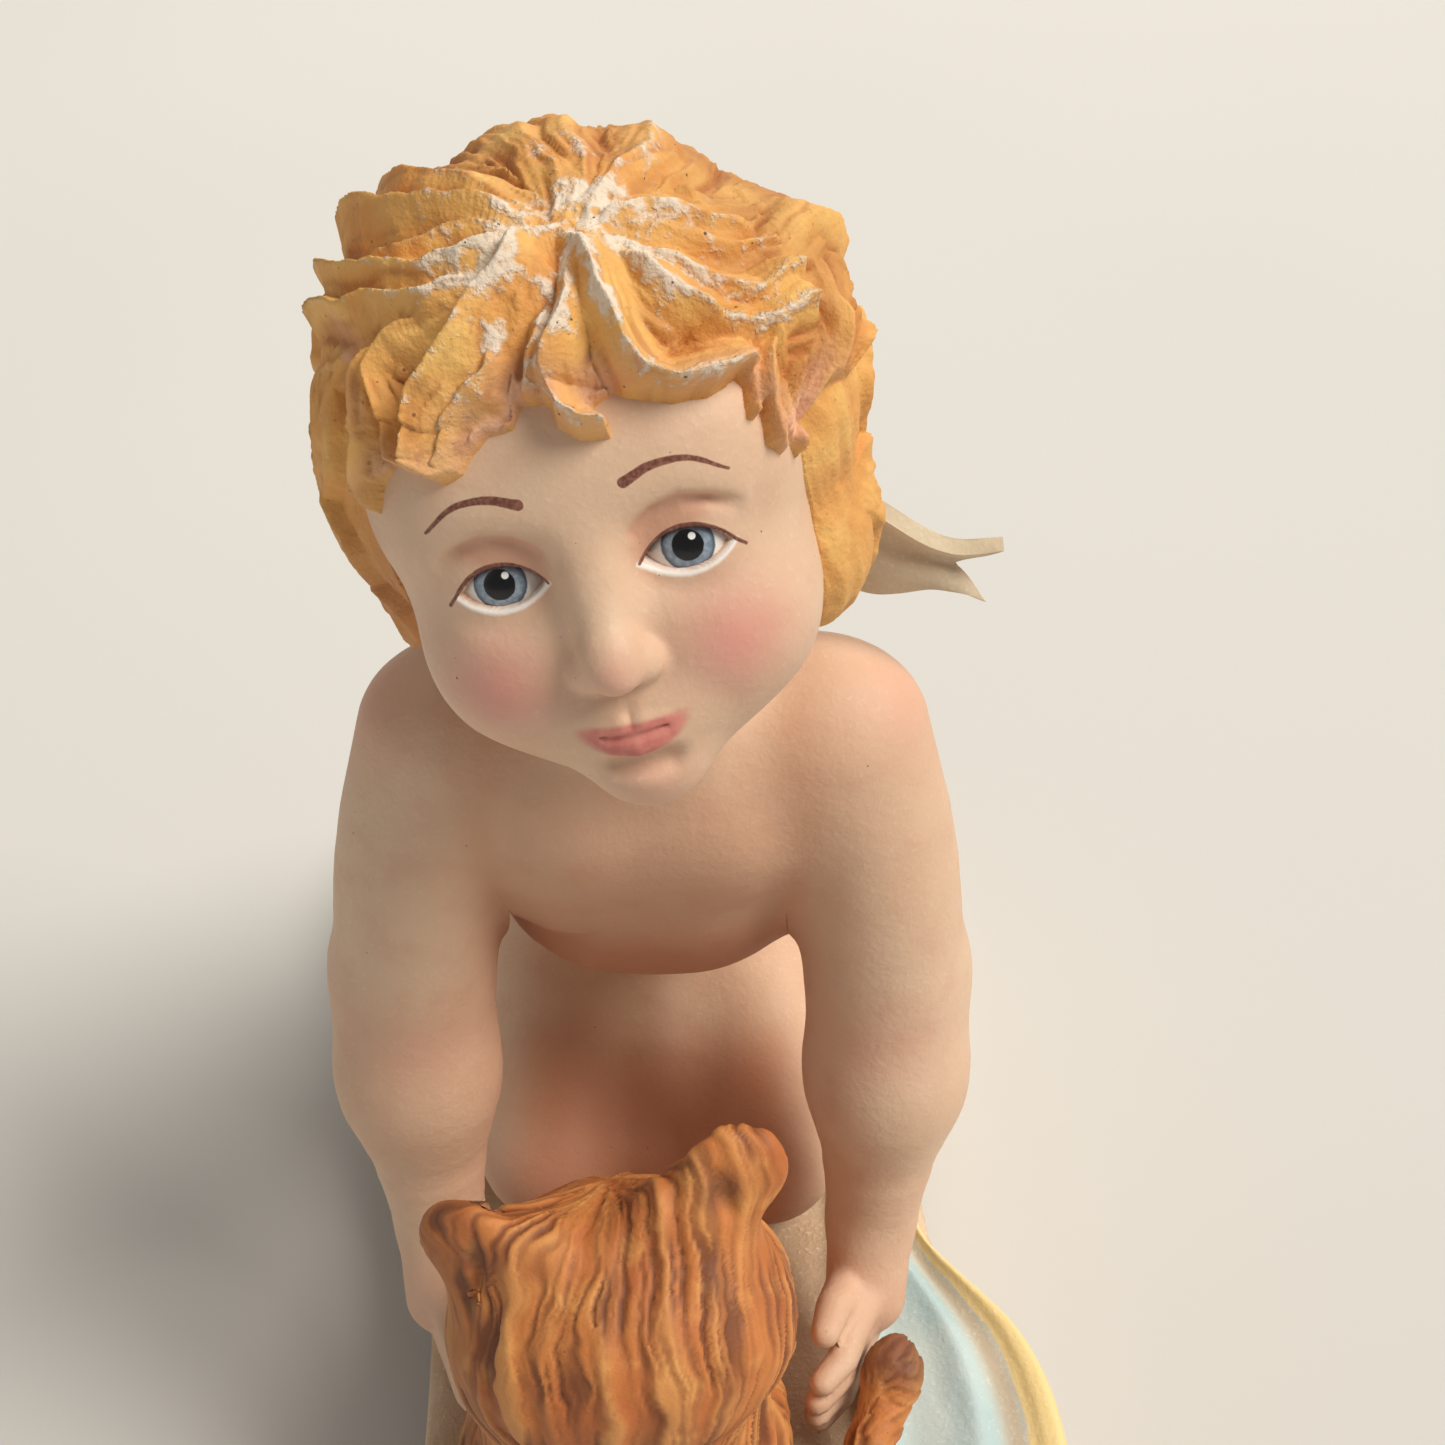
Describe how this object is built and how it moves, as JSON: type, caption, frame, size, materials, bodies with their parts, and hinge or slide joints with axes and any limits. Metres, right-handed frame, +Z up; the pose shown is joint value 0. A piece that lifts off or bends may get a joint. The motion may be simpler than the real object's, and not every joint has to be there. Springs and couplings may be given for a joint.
{
  "type": "bubbling aquarium ornament",
  "caption": "Painted bisque ornament: a kneeling child in a towel with a lion cub, on a hollow plinth with a hose inlet and an air stone.",
  "frame": {"origin": "middle of the footprint, on the ground under the foot pads", "axes": "+Z up; the figure faces -Y and the hose inlet is at +Y; +X is the figure's left"},
  "size_m": [0.064, 0.1174, 0.1224],
  "materials": {
    "sand_resin": "matt painted sand",
    "cover_plastic": "moulded grey",
    "ballast_steel": "black coated",
    "sintered_stone": "sintered grit",
    "silicone": "translucent",
    "clear_acrylic": "clear moulded",
    "grommet_rubber": "matt black",
    "skin_bisque": "matt painted bisque",
    "face_bisque": "matt painted bisque, satin eyes",
    "hair_bisque": "matt golden paint with pale crust on the ridges",
    "towel_bisque": "matt light blue paint with a yellow border",
    "stainless_steel": "plain",
    "pad_silicone": "matt",
    "ribbon_bisque": "matt cream paint",
    "fur_bisque": "matt ginger paint in incised fur"
  },
  "bodies": {
    "ornament": {"air_tube": "silicone", "ballast_block": "ballast_steel", "base_cover": "cover_plastic", "base_shell": "sand_resin", "cover_screw_1": "stainless_steel", "cover_screw_2": "stainless_steel", "cover_screw_3": "stainless_steel", "cover_screw_4": "stainless_steel", "cub_body": "fur_bisque", "cub_bolt": "stainless_steel", "cub_foreleg_left": "fur_bisque", "cub_foreleg_right": "fur_bisque", "cub_head": "fur_bisque", "cub_neck_pin": "stainless_steel", "cub_tail": "fur_bisque", "foot_pad_1": "pad_silicone", "foot_pad_2": "pad_silicone", "foot_pad_3": "pad_silicone", "foot_pad_4": "pad_silicone", "hair_cap": "hair_bisque", "hair_fringe": "hair_bisque", "head": "face_bisque", "inlet_grommet": "grommet_rubber", "left_arm": "skin_bisque", "left_leg": "skin_bisque", "leg_bolt_left": "stainless_steel", "leg_bolt_right": "stainless_steel", "neck_pin": "stainless_steel", "ribbon_knot": "ribbon_bisque", "ribbon_loop_left": "ribbon_bisque", "ribbon_loop_right": "ribbon_bisque", "ribbon_tail_left": "ribbon_bisque", "ribbon_tail_right": "ribbon_bisque", "right_arm": "skin_bisque", "right_leg": "skin_bisque", "shoulder_pin_left": "stainless_steel", "shoulder_pin_right": "stainless_steel", "stone_cup": "clear_acrylic", "torso": "skin_bisque", "towel_end": "towel_bisque", "towel_wrap": "towel_bisque"},
    "air_inlet": {"inlet_elbow": "clear_acrylic"},
    "stone": {"air_stone": "sintered_stone"}
  },
  "joints": [
    {"name": "air_inlet_swivel", "type": "hinge", "parent": "ornament", "child": "air_inlet", "pos_m": [-0.00219, 0.04875, 0.0088], "axis": [0, 1, 0], "range_deg": [-90, 90]},
    {"name": "air_stone_pull", "type": "slide", "parent": "ornament", "child": "stone", "axis": [0, 0, 1], "range_m": [0, 0.014]}
  ]
}
